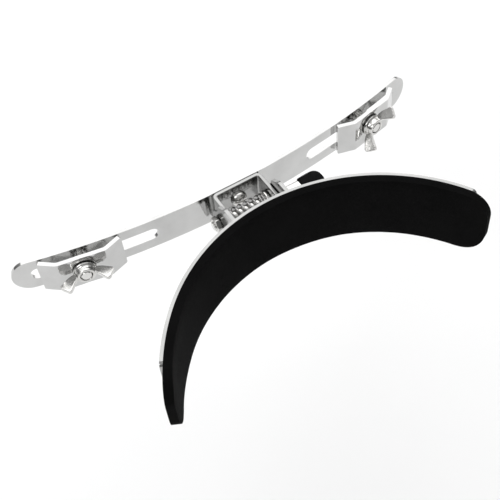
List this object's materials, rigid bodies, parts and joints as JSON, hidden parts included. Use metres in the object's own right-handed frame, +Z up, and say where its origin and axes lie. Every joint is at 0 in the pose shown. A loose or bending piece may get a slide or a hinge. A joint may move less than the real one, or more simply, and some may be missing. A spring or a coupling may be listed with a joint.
{
  "type": "drum leg rest",
  "caption": "Curved slotted steel strip with sliding rod clamps and a folding padded arch that steadies a marching drum against the player's thigh.",
  "frame": {"origin": "centre of the strip's back face, which lies toward the drum shell", "axes": "+X along the strip toward the release lever, +Y out of the strip's back toward the drum shell, +Z up"},
  "size_m": [0.2408, 0.1188, 0.0392],
  "materials": {
    "chromed_steel": "bright plate over rolled sheet steel",
    "plated_hardware": "satin nickel plate",
    "black_foam": "matt closed-cell foam with fine pores",
    "black_vinyl": "dipped vinyl with a soft sheen"
  },
  "bodies": {
    "strip_assembly": {"slotted_strip": "chromed_steel", "channel_bracket": "chromed_steel", "channel_screw": "plated_hardware", "channel_nut": "plated_hardware", "pin_spring": "plated_hardware"},
    "left_carriage": {"left_clamp_bolt": "plated_hardware"},
    "left_clamp": {"left_rod_bracket": "chromed_steel"},
    "left_wing": {"left_wing_nut": "plated_hardware"},
    "right_carriage": {"right_clamp_bolt": "plated_hardware"},
    "right_clamp": {"right_rod_bracket": "chromed_steel"},
    "right_wing": {"right_wing_nut": "plated_hardware"},
    "knee_arch": {"knee_plate": "chromed_steel", "knee_bracket": "chromed_steel", "left_rivet": "plated_hardware", "right_rivet": "plated_hardware", "foam_pad": "black_foam"},
    "lock_pin": {"hinge_pin": "plated_hardware", "pin_nut": "plated_hardware", "spring_collar": "plated_hardware", "release_lever": "plated_hardware", "lever_grip": "black_vinyl"}
  },
  "joints": [
    {"name": "left_carriage_slide", "type": "hinge", "parent": "strip_assembly", "child": "left_carriage", "pos_m": [0, 0.43767, 0], "axis": [0, 0, 1], "range_deg": [-2.65, 4.7]},
    {"name": "left_clamp_lift", "type": "slide", "parent": "left_carriage", "child": "left_clamp", "axis": [-0.1962, -0.9806, 0], "range_m": [0, 0.003]},
    {"name": "left_wing_turn", "type": "hinge", "parent": "left_clamp", "child": "left_wing", "pos_m": [-0.08633, 0.00622, 0], "axis": [-0.1962, -0.9806, 0], "range_deg": [0, 1081]},
    {"name": "right_carriage_slide", "type": "hinge", "parent": "strip_assembly", "child": "right_carriage", "pos_m": [0, 0.43767, 0], "axis": [0, 0, -1], "range_deg": [-2.65, 3.1]},
    {"name": "right_clamp_lift", "type": "slide", "parent": "right_carriage", "child": "right_clamp", "axis": [0.1962, -0.9806, 0], "range_m": [0, 0.003]},
    {"name": "right_wing_turn", "type": "hinge", "parent": "right_clamp", "child": "right_wing", "pos_m": [0.08633, 0.00622, 0], "axis": [0.1962, -0.9806, 0], "range_deg": [0, 1081]},
    {"name": "knee_fold", "type": "hinge", "parent": "strip_assembly", "child": "knee_arch", "pos_m": [0, -0.0132, 0], "axis": [-1, 0, 0], "range_deg": [0, 60]},
    {"name": "pin_press", "type": "slide", "parent": "strip_assembly", "child": "lock_pin", "axis": [-1, 0, 0], "range_m": [0, 0.004], "stiffness_N_per_m": 4350, "springref_m": -0.002, "deforming": ["pin_spring"]}
  ],
  "couplings": [
    {"joint": "left_wing_turn", "follows": "left_clamp_lift", "rad_per_m": 6283.2},
    {"joint": "right_wing_turn", "follows": "right_clamp_lift", "rad_per_m": 6283.2}
  ]
}
